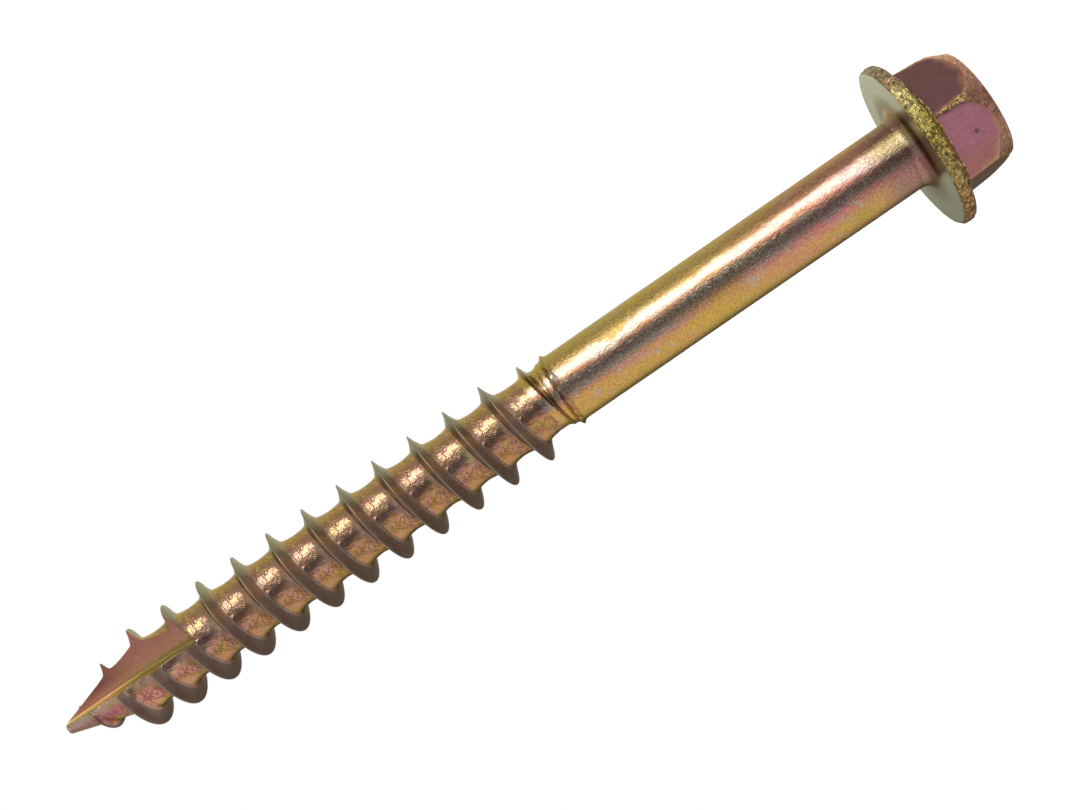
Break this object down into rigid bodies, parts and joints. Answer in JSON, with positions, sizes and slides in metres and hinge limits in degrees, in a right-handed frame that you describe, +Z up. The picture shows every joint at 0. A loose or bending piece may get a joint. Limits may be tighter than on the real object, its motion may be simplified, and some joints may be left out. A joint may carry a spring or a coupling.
{
  "type": "lag screw",
  "caption": "Hex washer-head lag screw with a plain shank, a coarse right-hand wood thread and a slash point, for fastening timber without a pilot nut or washer.",
  "frame": {"origin": "middle of the flat top of the head, which the screw stands on", "axes": "+Z up along the screw from its head to its point, +X and +Y across it, a right-handed frame"},
  "size_m": [0.0178, 0.0178, 0.1085],
  "materials": {
    "yellow_zinc_steel": "zinc plated with a yellow, iridescent chromate passivation, rolled and forged surface"
  },
  "bodies": {
    "root": {"lag_screw": "yellow_zinc_steel"}
  },
  "joints": []
}
